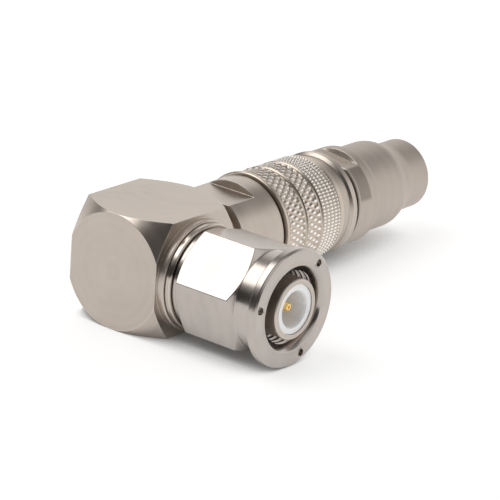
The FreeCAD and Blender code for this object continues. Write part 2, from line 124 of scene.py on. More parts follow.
def plug(tree, item, socket):
    """Link a Value to a socket, or set the socket to a plain number or vector."""
    if isinstance(item, Value):
        tree.links.new(item.socket, socket)
    else:
        socket.default_value = item


def add_node(tree, kind, sockets, **settings):
    """A new node with its settings made and its sockets linked or set."""
    node = tree.nodes.new(kind)
    for name, setting in settings.items():
        setattr(node, name, setting)
    for name, item in sockets.items():
        plug(tree, item, node.inputs[name])
    return node


def parts_of(tree, vector):
    """The three numbers of a vector."""
    split = add_node(tree, "ShaderNodeSeparateXYZ", {"Vector": vector})
    return [Value(tree, split.outputs[axis]) for axis in "XYZ"]


CLOTH_SIDE = (-0.32, 0.45, 0.83)
CLOTH_EDGE = (0.885, 0.945)
CLOTH_LIGHT = 2.3
HALO_EDGE = (0.75, 0.92)
HALO_LIGHT = 0.4
WALL_EDGE = (0.1, 0.7)
WALL_LIGHT = 1.0
SEAM_DIMMING = 0.7
CORNER_LIGHT = 0.8
FRONT_SIDE = (0.05, -0.85, 0.52)
FRONT_EDGE = (0.8, 0.95)
FRONT_LIGHT = 0.8
ROOM_LIGHT = 0.05
TENT_WHITE = (1.0, 0.99, 0.975, 1)

world = bpy.data.worlds.new("tent")
world.use_nodes = True
bpy.context.scene.world = world
sky = world.node_tree
direction = Value(sky, sky.nodes.new("ShaderNodeTexCoord").outputs["Generated"])
east, north, high = parts_of(sky, direction)


def nearness(side):
    """How nearly each direction points to one side of the tent: about 1 straight at it."""
    return east * side[0] + north * side[1] + high * side[2]


near_cloth = nearness(CLOTH_SIDE)
cloth = near_cloth.step(*CLOTH_EDGE) * CLOTH_LIGHT + near_cloth.step(*HALO_EDGE) * HALO_LIGHT
seam = high.step(0.42, 0.62) * (1 - north.step(0.05, 0.4)) * SEAM_DIMMING
far_corner = north.step(0.88, 0.98) * (1 - high.step(0.1, 0.5)) * CORNER_LIGHT
wall = (east.step(*WALL_EDGE) * (1 - seam) + far_corner) * WALL_LIGHT
front = nearness(FRONT_SIDE).step(*FRONT_EDGE) * FRONT_LIGHT + ROOM_LIGHT
plug(sky, cloth + wall + front, sky.nodes["Background"].inputs["Strength"])
sky.nodes["Background"].inputs["Color"].default_value = TENT_WHITE

# The floor: matt white card, faintly mottled, that the block and the nut's flange rest on.
# It glows evenly under the tent; a painted contact shadow dims it where the plug stands close
# above.
FLOOR_HALF = 1.5
CARD_GLOW = 0.68
SHADE_REACH = 0.012

floor_mesh = bpy.data.meshes.new("floor")
floor_z = cad_box[0].z
floor_mesh.from_pydata(
    [(-FLOOR_HALF, -FLOOR_HALF, floor_z), (FLOOR_HALF, -FLOOR_HALF, floor_z),
     (FLOOR_HALF, FLOOR_HALF, floor_z), (-FLOOR_HALF, FLOOR_HALF, floor_z)],
    [], [(0, 1, 2, 3)])
floor = bpy.data.objects.new("floor", floor_mesh)
bpy.context.scene.collection.objects.link(floor)


class Finish:
    """A material under construction, with the object coordinates it is drawn in."""

    def __init__(self, name):
        self.material = bpy.data.materials.new(name)
        self.material.use_nodes = True
        self.tree = self.material.node_tree
        self.shader = self.tree.nodes["Principled BSDF"]
        coordinates = self.tree.nodes.new("ShaderNodeTexCoord")
        self.place = Value(self.tree, coordinates.outputs["Object"])

    def node(self, kind, sockets, output, **settings):
        made = add_node(self.tree, kind, sockets, **settings)
        return Value(self.tree, made.outputs[output])

    def vector(self, x, y, z):
        return self.node("ShaderNodeCombineXYZ", {"X": x, "Y": y, "Z": z}, "Vector")

    def noise(self, vector, scale, detail=2.0):
        return self.node(
            "ShaderNodeTexNoise", {"Vector": vector, "Scale": scale, "Detail": detail}, "Fac")

    def mix(self, factor, first, second):
        """A colour between two colours. The node's sockets share names, so they go by number."""
        made = add_node(self.tree, "ShaderNodeMix", {}, data_type="RGBA")
        for item, socket in ((factor, 0), (first, 6), (second, 7)):
            plug(self.tree, item, made.inputs[socket])
        return Value(self.tree, made.outputs[2])

    def attribute(self, name):
        return self.node("ShaderNodeAttribute", {}, "Fac", attribute_name=name)

    def set(self, **sockets):
        for name, item in sockets.items():
            plug(self.tree, item, self.shader.inputs[name.replace("_", " ")])

    def bump(self, height, distance, edge_radius=0):
        """Raise the surface by height times distance, on edges eased by edge_radius."""
        sockets = {"Height": height, "Distance": distance}
        if edge_radius:
            sockets["Normal"] = self.node(
                "ShaderNodeBevel", {"Radius": edge_radius}, "Normal", samples=6)
        self.set(Normal=self.node("ShaderNodeBump", sockets, "Normal"))


card = Finish("white_card")
card_grain = card.noise(card.place, scale=400, detail=3)
# Painted contact shadow: the card's glow darkens where little open sky is left above it.
painted_shadow_openness = card.node("ShaderNodeAmbientOcclusion", {"Distance": SHADE_REACH}, "AO", samples=8)
card.set(
    Base_Color=card.mix(card_grain, (0.49, 0.49, 0.49, 1), (0.52, 0.52, 0.52, 1)),
    Roughness=card_grain * 0.1 + 0.85, Emission_Strength=CARD_GLOW,
    Emission_Color=card.mix(painted_shadow_openness.step(0.05, 0.6), (0.03, 0.03, 0.03, 1), (1, 1, 1, 1)))
card.bump(card_grain, distance=0.00002)
floor_mesh.materials.append(card.material)

# Elbow block: milled and turned brass under a warm white-bronze plating. The turning lines
# run round the cable axis, the milled faces are mottled, and the edges are rubbed brighter.
# The cable axis crosses the plug axis at CROSSING, in metres behind the nut's front face.
CROSSING = 0.02485
WARM_PLATING = (0.53, 0.465, 0.41)
COOL_PLATING = (0.49, 0.445, 0.41)
RUBBED_METAL = (0.82, 0.80, 0.77, 1)
# A darker brown that a mask can lay over part of a plated piece.
DARK_PATCH_TONE = (0.30, 0.26, 0.225, 1)


def lathe_place(finish, axis):
    """Each point as a lathe sees it: how far along the axis it is, and how far from it."""
    x, y, z = parts_of(finish.tree, finish.place)
    along, across = (x, y - CROSSING) if axis == "cable" else (y, x)
    return finish.vector(along, (across * across + z * z).maths("SQRT"), 0)


def plated(
        name, colour, roughness, axis, lines=1.0, wear=0.5, edge_radius=0.00012, darkening=None):
    """Plated metal turned about the plug or the cable axis, with rubbed edges.

    On the faces that show, roughness stays clear of 0.27, where a denoised render specks.
    """
    finish = Finish(name)
    x, y, z = parts_of(finish.tree, finish.place)
    lathe = lathe_place(finish, axis)
    fine_lines = finish.noise(lathe, scale=5200)
    broad_lines = finish.noise(lathe, scale=900, detail=3)
    mottle = finish.noise(finish.place, scale=330, detail=5)
    patches = finish.noise(finish.place, scale=90, detail=3)
    grain = finish.noise(finish.place, scale=6500)
    drawn_out = finish.vector(x * 9 + y * 4, y * 0.6 - z * 0.5, z * 5 + x)
    scratches = finish.noise(drawn_out, scale=700, detail=4).step(0.66, 0.74)
    true_normal = finish.node("ShaderNodeNewGeometry", {}, "Normal")
    eased_normal = finish.node(
        "ShaderNodeBevel", {"Radius": edge_radius * 1.6}, "Normal", samples=4)
    facing = finish.node(
        "ShaderNodeVectorMath", {0: true_normal, 1: eased_normal}, "Value",
        operation="DOT_PRODUCT")
    rubbed = (1 - facing).step(0.01, 0.12) * wear
    dark = (*(0.88 * c for c in colour), 1)
    plain = (*colour, 1)
    pale = (*(min(1, 1.1 * c) for c in colour), 1)
    tone = finish.mix((mottle * 0.5 + patches * 0.5).step(0.3, 0.7), dark, plain)
    tone = finish.mix(broad_lines.step(0.35, 0.65) * 0.35, tone, pale)
    tone = finish.mix(rubbed, tone, RUBBED_METAL)
    # Where a mask is given, the tone is darkened towards that darker brown there.
    if darkening:
        tone = finish.mix(darkening(finish) * (mottle * 0.3 + 0.75), tone, DARK_PATCH_TONE)
    marks = mottle * 0.12 + broad_lines * 0.08 + scratches * 0.05 - rubbed * 0.1
    finish.set(Base_Color=tone, Metallic=1.0, Roughness=marks + (roughness - 0.1))
    height = fine_lines * lines + broad_lines * lines + grain * 0.25 + mottle * 0.6
    finish.bump(height, distance=0.0000035, edge_radius=edge_radius)
    return finish.material


def dress(node, material):
    """Give a carried-over solid its material in place of the plain one."""
    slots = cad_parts[node].data.materials
    slots.clear()
    slots.append(material)


dress("elbow_body", plated("block_finish", WARM_PLATING, roughness=0.315, axis="cable"))

# Access cap: a turned brass disc, plated like the block and screwed flush into its far side,
# over the joint of the two pins. A slot for a driver crosses it.
dress("access_cap", plated("cap_finish", WARM_PLATING, roughness=0.34, axis="plug", lines=1.6))

# Front bush: smooth turned brass, pressed into the block's boss to carry the nut. Its edge
# is a thin bright ring between block and nut.
dress("front_bush", plated("bush_finish", WARM_PLATING, roughness=0.17, axis="plug", wear=0.7))

# Coupling nut: turned from brass hexagon bar under a cooler plating. It has a short collar at
# the back, bevelled hexagon corners, a plain barrel, a flange with three wire holes and a
# thread of 28 turns an inch.
NUT_FLATS = 14.0
NUT_TURN = 18.8
NUT_BACK = 9.75
NUT_FACE = 24.85
COLLAR_RADIUS = 6.97
COLLAR_FRONT = 10.38
HEXAGON_BACK = 10.42
HEXAGON_FRONT = 19.7
BACK_BEVEL = 0.68
FRONT_BEVEL = 0.8
BARREL_RADIUS = 6.95
BARREL_BACK = 20.5
BARREL_FRONT = 23.0
FLANGE_RADIUS = 8.25
FLANGE_BACK = 23.55
FLANGE_BEVEL = 0.3
MOUTH_RADIUS = 5.97
JOURNAL_RADIUS = 5.58
JOURNAL_FRONT = 19.3
CLIP_GROOVE_RADIUS = 6.1
CLIP_GROOVE_BACK = 11.9
CLIP_GROOVE_FRONT = 13.0
THREAD_CORE = 5.1
THREAD_DEPTH = 0.42
THREAD_PITCH = 25.4 / 28
THREAD_ROWS = 12
THREAD_FROM = 19.6
THREAD_TO = 23.98
THREAD_RUN_IN = 0.3
THREAD_RUN_OUT = 0.4
THREAD_FLANK = (0.12, 0.9)
CORE_MARGIN = 0.01
WIRE_CIRCLE = 7.11
WIRE_HOLE_RADIUS = 0.5
WIRE_HOLE_TURN = 78.4
WIRE_HOLES = 3
WIRE_DRILL_LENGTH = 3.72
DRILL_SIDES = 32


def hexagon_angles(turn, count):
    """Angles round a hexagonal piece, close together beside its six corners."""
    beside = [0.35, 0.8, 1.6, 3.0]
    middle = 60 - 2 * beside[-1]
    inner = [beside[-1] + middle * step / count for step in range(1, count)]
    sixth = beside + inner + [60 - a for a in reversed(beside)]
    return [turn + 60 * side + a for side in range(6) for a in sixth]


def flat_radius(flats, turn, angle):
    """Distance from the axis to a hexagon's flat in one direction."""
    return flats / 2 / math.cos(math.radians((angle - turn) % 60 - 30))


def eased(corners, steps=3):
    """A profile whose corners, given as (station, radius, ease), are rounded off."""
    path = []
    for index, (station, radius, ease) in enumerate(corners):
        here = Vector((station, radius))
        if not ease:
            path.append(here)
            continue
        before = Vector(corners[index - 1][:2]) - here
        after = Vector(corners[(index + 1) % len(corners)][:2]) - here
        ease = min(ease, 0.3 * before.length, 0.3 * after.length)
        start = here + before.normalized() * ease
        end = here + after.normalized() * ease
        path.append(here + before.normalized() * ease * 1.5)
        for step in range(steps + 1):
            t = step / steps
            path.append((1 - t) ** 2 * start + 2 * t * (1 - t) * here + t ** 2 * end)
        path.append(here + after.normalized() * ease * 1.5)
    return path


def turned_piece(name, axis, angles, profile):
    """A closed turning in metres. profile(angle) gives its loop of stations and radii in mm.

    A station is the distance along the piece's axis from where the two axes cross.
    """
    shape = bmesh.new()
    rows = []
    for angle in angles:
        sine, cosine = math.sin(math.radians(angle)), math.cos(math.radians(angle))
        row = []
        for station, radius in profile(angle):
            if axis == "cable":
                place = (station, -radius * sine + CROSSING * 1000, radius * cosine)
            else:
                place = (-radius * sine, CROSSING * 1000 - station, radius * cosine)
            row.append(shape.verts.new([number / 1000 for number in place]))
        rows.append(row)
    for index, row in enumerate(rows):
        previous = rows[index - 1]
        for place in range(len(row)):
            shape.faces.new((previous[place - 1], previous[place], row[place], row[place - 1]))
    bmesh.ops.recalc_face_normals(shape, faces=shape.faces)
    mesh = bpy.data.meshes.new(name)
    shape.to_mesh(mesh)
    shape.free()
    mesh.shade_smooth()
    piece = bpy.data.objects.new(name, mesh)
    bpy.context.scene.collection.objects.link(piece)
    return piece


class Rule:
    """A Geometry Nodes tree under construction, with named inputs."""

    def __init__(self, name, inputs):
        self.tree = bpy.data.node_groups.new(name, "GeometryNodeTree")
        face = self.tree.interface
        face.new_socket("Geometry", in_out="INPUT", socket_type="NodeSocketGeometry")
        for word in inputs:
            face.new_socket(word, in_out="INPUT", socket_type="NodeSocketFloat")
        face.new_socket("Material", in_out="INPUT", socket_type="NodeSocketMaterial")
        face.new_socket("Geometry", in_out="OUTPUT", socket_type="NodeSocketGeometry")
        self.entry = self.tree.nodes.new("NodeGroupInput")

    def input(self, name):
        return Value(self.tree, self.entry.outputs[name])

    def node(self, kind, sockets, output=0, **settings):
        made = add_node(self.tree, kind, sockets, **settings)
        return Value(self.tree, made.outputs[output])

    def end(self, geometry):
        whole = self.node("GeometryNodeRealizeInstances", {"Geometry": geometry})
        finished = self.node("GeometryNodeSetMaterial", {
            "Geometry": whole, "Material": self.input("Material")})
        exit_node = self.tree.nodes.new("NodeGroupOutput")
        plug(self.tree, finished, exit_node.inputs["Geometry"])


def apply_rule(piece, rule, material, inputs):
    """Run a tree on a piece and keep the result as the piece's plain mesh."""
    modifier = piece.modifiers.new(rule.tree.name, "NODES")
    modifier.node_group = rule.tree
    for item in rule.tree.interface.items_tree:
        if item.in_out == "INPUT" and item.name in inputs:
            modifier[item.identifier] = inputs[item.name]
        if item.in_out == "INPUT" and item.name == "Material":
            modifier[item.identifier] = material
    graph = bpy.context.evaluated_depsgraph_get()
    made = bpy.data.meshes.new_from_object(piece.evaluated_get(graph))
    piece.modifiers.remove(modifier)
    piece.data = made


def nut_profile(angle):
    """The nut's outside from collar to mouth, then its thread's core and its bore."""
    flat = flat_radius(NUT_FLATS, NUT_TURN, angle)
    middle = NUT_FLATS / 2
    corner = middle / math.cos(math.radians(30))
    back = HEXAGON_BACK + (flat - middle) * BACK_BEVEL / (corner - middle)
    front = HEXAGON_FRONT + (corner - flat) * FRONT_BEVEL / (corner - BARREL_RADIUS)
    outside = eased([
        (NUT_BACK, JOURNAL_RADIUS, 0), (NUT_BACK, COLLAR_RADIUS, 0.05),
        (COLLAR_FRONT, COLLAR_RADIUS, 0.02), (back, flat, 0.05), (front, flat, 0.08),
        (BARREL_BACK, BARREL_RADIUS, 0.12), (BARREL_FRONT, BARREL_RADIUS, 0.12),
        (FLANGE_BACK, FLANGE_RADIUS, 0.08), (NUT_FACE - FLANGE_BEVEL, FLANGE_RADIUS, 0.08),
        (NUT_FACE, FLANGE_RADIUS - FLANGE_BEVEL, 0.08), (NUT_FACE, MOUTH_RADIUS, 0.05),
        (THREAD_TO, THREAD_CORE, 0)])
    rows = round((THREAD_TO - THREAD_FROM) / THREAD_PITCH * THREAD_ROWS)
    thread = [
        Vector((THREAD_TO + (THREAD_FROM - THREAD_TO) * row / rows, THREAD_CORE))
        for row in range(1, rows + 1)]
    inside = eased([
        (JOURNAL_FRONT, THREAD_CORE, 0), (JOURNAL_FRONT, JOURNAL_RADIUS, 0),
        (CLIP_GROOVE_FRONT, JOURNAL_RADIUS, 0), (CLIP_GROOVE_FRONT, CLIP_GROOVE_RADIUS, 0),
        (CLIP_GROOVE_BACK, CLIP_GROOVE_RADIUS, 0), (CLIP_GROOVE_BACK, JOURNAL_RADIUS, 0)])
    return outside + thread + inside


nut_rule = Rule("thread_and_wire_holes", [
    "Pitch", "Depth", "Core radius", "Front", "Back", "Hole radius", "Hole circle", "Hole turn"])
x, y, z = parts_of(nut_rule.tree, nut_rule.node("GeometryNodeInputPosition", {}))
radius = (x * x + z * z).maths("SQRT")
turn = x.maths("ARCTAN2", z) / math.tau
phase = (y / nut_rule.input("Pitch") - turn).maths("PINGPONG", 0.5) * 2
margin = CORE_MARGIN / 1000
inside_core = (nut_rule.input("Core radius") + margin - radius).step(0, margin)
run_in = (y - nut_rule.input("Front")).step(0, THREAD_RUN_IN / 1000)
run_out = (nut_rule.input("Back") - y).step(0, THREAD_RUN_OUT / 1000)
groove = (1 - phase).step(*THREAD_FLANK) * inside_core * run_in * run_out
push = groove * nut_rule.input("Depth") / radius
threaded = nut_rule.node("GeometryNodeSetPosition", {
    "Geometry": nut_rule.input("Geometry"),
    "Offset": nut_rule.node("ShaderNodeCombineXYZ", {"X": x * push, "Y": 0.0, "Z": z * push})})
drill = nut_rule.node("GeometryNodeMeshCylinder", {
    "Vertices": DRILL_SIDES, "Radius": nut_rule.input("Hole radius"),
    "Depth": WIRE_DRILL_LENGTH / 1000})
drill_places = nut_rule.node("GeometryNodeMeshCircle", {
    "Vertices": WIRE_HOLES, "Radius": nut_rule.input("Hole circle")})
drills = nut_rule.node("GeometryNodeInstanceOnPoints", {
    "Points": drill_places, "Instance": drill})
turned_drills = nut_rule.node("GeometryNodeTransform", {
    "Geometry": drills,
    "Rotation": nut_rule.node("ShaderNodeCombineXYZ", {
        "X": math.pi / 2, "Y": nut_rule.input("Hole turn"), "Z": 0.0})})
drilled = nut_rule.node("GeometryNodeMeshBoolean", {
    "Mesh 1": threaded,
    "Mesh 2": nut_rule.node("GeometryNodeRealizeInstances", {"Geometry": turned_drills})},
    operation="DIFFERENCE", solver="EXACT")
nut_rule.end(drilled)

nut = turned_piece("turned_nut", "plug", hexagon_angles(NUT_TURN, count=18), nut_profile)
nut_metal = plated(
    "nut_finish", COOL_PLATING, roughness=0.2, axis="plug", lines=0.8, wear=0.6,
    edge_radius=0.00005)
apply_rule(nut, nut_rule, nut_metal, {
    "Pitch": THREAD_PITCH / 1000, "Depth": THREAD_DEPTH / 1000,
    "Core radius": THREAD_CORE / 1000, "Front": CROSSING - THREAD_TO / 1000,
    "Back": CROSSING - THREAD_FROM / 1000, "Hole radius": WIRE_HOLE_RADIUS / 1000,
    "Hole circle": WIRE_CIRCLE / 1000, "Hole turn": math.radians(-90 - WIRE_HOLE_TURN)})
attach(nut, "nut")
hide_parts("coupling_nut")

# Outer contact: a thin tube of turned brass, fixed in the elbow, that enters the mating
# socket. Its plating is warm and tarnished.
CONTACT_PLATING = (0.55, 0.485, 0.43)

dress("outer_contact", plated(
    "contact_finish", CONTACT_PLATING, roughness=0.42, axis="plug", wear=0.8))


# Face gasket: a flat ring moulded of dark red-brown silicone rubber, laid round the outer
# contact at the bottom of the nut's thread.
def rubber(name, colour, roughness):
    """Moulded rubber with a soft bloom."""
    finish = Finish(name)
    bloom = finish.noise(finish.place, scale=700, detail=4)
    pores = finish.noise(finish.place, scale=9000)
    finish.set(
        Base_Color=finish.mix(
            bloom.step(0.35, 0.7), (*colour, 1), (*(1.5 * c + 0.01 for c in colour), 1)),
        Roughness=bloom * 0.2 + (roughness - 0.1))
    finish.bump(bloom + pores, distance=0.000006, edge_radius=0.0001)
    return finish.material


dress("face_gasket", rubber("red_brown_silicone", colour=(0.33, 0.19, 0.115), roughness=0.45))


# White insulators: turned fluoropolymer, waxy, with light passing a little way in. The front
# one has a deep socket round the pin, whose rim is flared and rounded over.
INSULATOR_BACK = 9.0
INSULATOR_FACE = 25.0
INSULATOR_RADIUS = 3.48
SOCKET_FLOOR = 19.6
SOCKET_RADIUS = 2.42
SOCKET_DRAFT = 0.03
RIM_FLARE = 0.2
RIM_DEPTH = 0.4
PIN_BORE = 0.695
TAIL_BORE = 1.12
TAIL_BORE_END = 16.82


def waxy(name, axis):
    """Turned fluoropolymer with faint turning lines and a little depth."""
    finish = Finish(name)
    lines = finish.noise(lathe_place(finish, axis), scale=4200)
    cloud = finish.noise(finish.place, scale=500, detail=3)
    finish.set(
        Base_Color=finish.mix(cloud, (0.94, 0.95, 0.955, 1), (0.97, 0.975, 0.98, 1)),
        Roughness=cloud * 0.12 + lines * 0.06 + 0.3, Subsurface_Weight=0.5,
        Subsurface_Radius=(0.0012, 0.001, 0.001), Specular_IOR_Level=0.4)
    finish.bump(lines + cloud, distance=0.000003, edge_radius=0.00012)
    return finish.material


def insulator_profile(angle):
    """The front insulator's outside, its socket with the flared rim, and its two bores."""
    return eased([
        (INSULATOR_BACK, INSULATOR_RADIUS, 0), (INSULATOR_FACE, INSULATOR_RADIUS, 0.05),
        (INSULATOR_FACE, SOCKET_RADIUS + RIM_FLARE, 0.1),
        (INSULATOR_FACE - RIM_DEPTH, SOCKET_RADIUS + SOCKET_DRAFT, 0.12),
        (SOCKET_FLOOR, SOCKET_RADIUS, 0.4), (SOCKET_FLOOR, PIN_BORE, 0),
        (TAIL_BORE_END, PIN_BORE, 0), (TAIL_BORE_END, TAIL_BORE, 0),
        (INSULATOR_BACK, TAIL_BORE, 0)], steps=5)


plug_white = waxy("plug_insulator", "plug")
line_white = waxy("line_insulator", "cable")
insulator = turned_piece("turned_insulator", "plug", range(0, 360, 5), insulator_profile)
insulator.data.materials.append(plug_white)
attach(insulator, "elbow")
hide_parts("front_insulator")
dress("plug_bead", plug_white)
dress("neck_bead", line_white)
dress("rear_bead", line_white)


# Contact pins: gold-plated brass, polished. The front one ends in a blunt rounded nose with
# a turned dimple in its middle, and the wire pin passes through a hole across its tail.
PIN_TAIL = -1.5
PIN_TAIL_RADIUS = 1.1
PIN_SHOULDER = 16.8
PIN_RADIUS = 0.67
PIN_TIP = 24.05
NOSE_LENGTH = 0.5
NOSE_RADIUS = 0.46
DIMPLE_RADIUS = 0.22
DIMPLE_DEPTH = 0.4
NEAR_AXIS = 0.02
CROSS_HOLE_RADIUS = 0.62
CROSS_DRILL_LENGTH = 4.0


def gilt(name):
    """Polished gold plating with faint hairlines."""
    finish = Finish(name)
    cloud = finish.noise(finish.place, scale=1500, detail=3)
    hairlines = finish.noise(finish.place, scale=9000)
    finish.set(
        Base_Color=finish.mix(cloud, (0.95, 0.60, 0.20, 1), (1.0, 0.76, 0.36, 1)),
        Metallic=1.0, Roughness=cloud * 0.12 + hairlines * 0.05 + 0.14)
    finish.bump(cloud + hairlines, distance=0.000002, edge_radius=0.00006)
    return finish.material


def pin_profile(angle):
    """The front pin's tail, shank and nose, and the floor of its dimple."""
    nose = eased([
        (PIN_TAIL, PIN_TAIL_RADIUS, 0), (PIN_SHOULDER, PIN_TAIL_RADIUS, 0),
        (PIN_SHOULDER, PIN_RADIUS, 0), (PIN_TIP - NOSE_LENGTH, PIN_RADIUS, 0.12),
        (PIN_TIP, NOSE_RADIUS, 0.12), (PIN_TIP, DIMPLE_RADIUS, 0.03)], steps=6)
    return [Vector((PIN_TAIL, NEAR_AXIS))] + nose + [
        Vector((PIN_TIP - DIMPLE_DEPTH, NEAR_AXIS))]


pin_rule = Rule("cross_hole", ["Hole radius"])
cross_drill = pin_rule.node("GeometryNodeTransform", {
    "Geometry": pin_rule.node("GeometryNodeMeshCylinder", {
        "Vertices": DRILL_SIDES, "Radius": pin_rule.input("Hole radius"),
        "Depth": CROSS_DRILL_LENGTH / 1000}),
    "Translation": (0, CROSSING, 0), "Rotation": (0, math.pi / 2, 0)})
pin_rule.end(pin_rule.node("GeometryNodeMeshBoolean", {
    "Mesh 1": pin_rule.input("Geometry"), "Mesh 2": cross_drill},
    operation="DIFFERENCE", solver="EXACT"))

pin_gold = gilt("pin_gold")
pin = turned_piece("turned_pin", "plug", range(0, 360, 6), pin_profile)
apply_rule(pin, pin_rule, pin_gold, {"Hole radius": CROSS_HOLE_RADIUS / 1000})
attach(pin, "elbow")
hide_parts("centre_pin")
dress("wire_pin", pin_gold)

# Union sleeve: turned brass with two bands of coarse diamond knurl and one of fine square
# knurl, two plain grooves between them, a plain ring in front and a narrow one behind.
DIAMONDS_ROUND = 46
DIAMOND_LEAD = 1.68
SQUARES_ROUND = 92
SQUARE_LEAD = 0.84
DIAMONDS = {
    "Left cuts round": DIAMONDS_ROUND, "Left cuts ahead": 1 / DIAMOND_LEAD,
    "Right cuts round": DIAMONDS_ROUND, "Right cuts ahead": -1 / DIAMOND_LEAD}
SQUARES = {
    "Left cuts round": SQUARES_ROUND, "Left cuts ahead": 0,
    "Right cuts round": 0, "Right cuts ahead": 1 / SQUARE_LEAD}
BANDS = [(20.72, 23.98, DIAMONDS), (24.67, 27.48, DIAMONDS), (28.17, 31.88, SQUARES)]
GROOVES = (24.0, 27.5)
GROOVE_WIDTH = 0.65
GROOVE_SIDE = 0.14
GROOVE_LIP = 7.6
GROOVE_RADIUS = 7.42
SLEEVE_COLUMNS = 12 * DIAMONDS_ROUND
SLEEVE_FRONT = 19.75
SLEEVE_BACK = 33.1
SLEEVE_BORE = 6.38
TUBE_BORE = 5.48
TUBE_BORE_FROM = 26.2
SLEEVE_BEVEL = 0.15
FRONT_RING = 7.85
FRONT_RING_END = 20.35
FRONT_LAND = 7.475
FRONT_LAND_START = 20.5
FRONT_LAND_END = 20.7
REAR_LIP = 7.52
REAR_GROOVE_START = 32.0
REAR_GROOVE_END = 32.2
REAR_GROOVE_SIDE = 0.05
REAR_RING = 7.5
KNURL_ROW = 0.14
KNURL_CREST = 7.625
KNURL_LEAST = 7.58
KNURL_DEPTH = 0.25
KNURL_SKIN = 0.02
BAND_END = 0.06
CREST_CUT = 0.7
# How much of the crests' painted highlight the plain rings and grooves are given.
PLAIN_RING_HIGHLIGHT = 0.12

knurl_rule = Rule("knurl", [
    "Start", "End", "Left cuts round", "Left cuts ahead", "Right cuts round",
    "Right cuts ahead", "Depth", "Least radius"])
x, y, z = parts_of(knurl_rule.tree, knurl_rule.node("GeometryNodeInputPosition", {}))
y = y - CROSSING
radius = (y * y + z * z).maths("SQRT")
around = z.maths("ARCTAN2", y) / math.tau
ahead = (x - knurl_rule.input("Start")) * 1000


def cuts_of(hand):
    """How far a point stands from the nearest cut of one hand: 0 in it, 1 midway."""
    lines = around * knurl_rule.input(hand + " cuts round") + ahead * knurl_rule.input(
        hand + " cuts ahead")
    return lines.maths("PINGPONG", 0.5) * 2


crown = cuts_of("Left").maths("MINIMUM", cuts_of("Right"))
crown = crown.maths("MINIMUM", CREST_CUT) / CREST_CUT
in_band = (x - knurl_rule.input("Start")).step(0, BAND_END / 1000) * (
    knurl_rule.input("End") - x).step(0, BAND_END / 1000) * (
    radius - knurl_rule.input("Least radius")).step(0, KNURL_SKIN / 1000)
sink = (1 - crown) * in_band * knurl_rule.input("Depth") * -1 / radius
knurled = knurl_rule.node("GeometryNodeSetPosition", {
    "Geometry": knurl_rule.input("Geometry"),
    "Offset": knurl_rule.node("ShaderNodeCombineXYZ", {
        "X": 0.0, "Y": y * sink, "Z": z * sink})})
relief = knurl_rule.node(
    "GeometryNodeInputNamedAttribute", {"Name": "relief"}, "Attribute", data_type="FLOAT")
marked = knurl_rule.node("GeometryNodeStoreNamedAttribute", {
    "Geometry": knurled, "Name": "relief",
    "Value": relief * (1 - in_band) + crown * in_band}, data_type="FLOAT", domain="POINT")
knurl_rule.end(marked)


def band_rows(start, end):
    """Rows across a knurled band, a twelfth of a diamond apart."""
    count = math.floor((end - start) / KNURL_ROW)
    return [Vector((start + KNURL_ROW * row, KNURL_CREST)) for row in range(count + 1)] + [
        Vector((end, KNURL_CREST))]


def sleeve_profile(angle):
    """The sleeve's bore, its front ring, its knurled bands and grooves, and its rear ring."""
    path = eased([
        (SLEEVE_BACK, TUBE_BORE, 0), (TUBE_BORE_FROM, TUBE_BORE, 0),
        (TUBE_BORE_FROM, SLEEVE_BORE, 0), (SLEEVE_FRONT, SLEEVE_BORE, 0.05),
        (SLEEVE_FRONT, FRONT_RING - SLEEVE_BEVEL, 0.06),
        (SLEEVE_FRONT + SLEEVE_BEVEL, FRONT_RING, 0.05), (FRONT_RING_END, FRONT_RING, 0.05),
        (FRONT_LAND_START, FRONT_LAND, 0.05), (FRONT_LAND_END, FRONT_LAND, 0)], steps=2)
    path += band_rows(*BANDS[0][:2])
    for place, (start, end, _) in zip(GROOVES, BANDS[1:]):
        far_side = place + GROOVE_WIDTH
        path += eased([
            (place, GROOVE_LIP, 0), (place + GROOVE_SIDE, GROOVE_RADIUS, 0.05),
            (far_side - GROOVE_SIDE, GROOVE_RADIUS, 0.05), (far_side, GROOVE_LIP, 0)], steps=2)
        path += band_rows(start, end)
    return path + eased([
        (REAR_GROOVE_START - REAR_GROOVE_SIDE, REAR_LIP, 0.03),
        (REAR_GROOVE_START, GROOVE_RADIUS, 0.03), (REAR_GROOVE_END, GROOVE_RADIUS, 0.03),
        (REAR_GROOVE_END + REAR_GROOVE_SIDE, REAR_RING, 0.04),
        (SLEEVE_BACK - SLEEVE_BEVEL, REAR_RING, 0.06),
        (SLEEVE_BACK, REAR_RING - SLEEVE_BEVEL, 0.05)], steps=2)


knurl_finish = Finish("knurl_finish")
crest_highlight_mask = knurl_finish.attribute("relief")
knurl_cloud = knurl_finish.noise(knurl_finish.place, scale=500, detail=4)
knurl_grain = knurl_finish.noise(knurl_finish.place, scale=7000)
valley = knurl_finish.mix(knurl_cloud, (0.50, 0.42, 0.35, 1), (0.62, 0.54, 0.46, 1))
# The crests are coloured near white, a painted highlight; the valleys and plain rings keep a
# browner metal tone.
knurl_finish.set(
    Base_Color=knurl_finish.mix(crest_highlight_mask.step(0.05, 0.5), valley, (0.95, 0.92, 0.88, 1)),
    Metallic=1.0, Roughness=knurl_cloud * 0.14 + knurl_grain * 0.06 - crest_highlight_mask * 0.08 + 0.24)
knurl_finish.bump(knurl_grain + knurl_cloud, distance=0.000003, edge_radius=0.00003)

sleeve_angles = [360 * column / SLEEVE_COLUMNS for column in range(SLEEVE_COLUMNS)]
sleeve = turned_piece("knurled_grip", "cable", sleeve_angles, sleeve_profile)
relief_marks = sleeve.data.attributes.new("relief", "FLOAT", "POINT")
relief_marks.data.foreach_set("value", [PLAIN_RING_HIGHLIGHT] * len(sleeve.data.vertices))
for start, end, cuts in BANDS:
    apply_rule(sleeve, knurl_rule, knurl_finish.material, {
        "Start": start / 1000, "End": end / 1000, "Depth": KNURL_DEPTH / 1000,
        "Least radius": KNURL_LEAST / 1000, **cuts})
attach(sleeve, "sleeve")
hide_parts("knurled_sleeve")

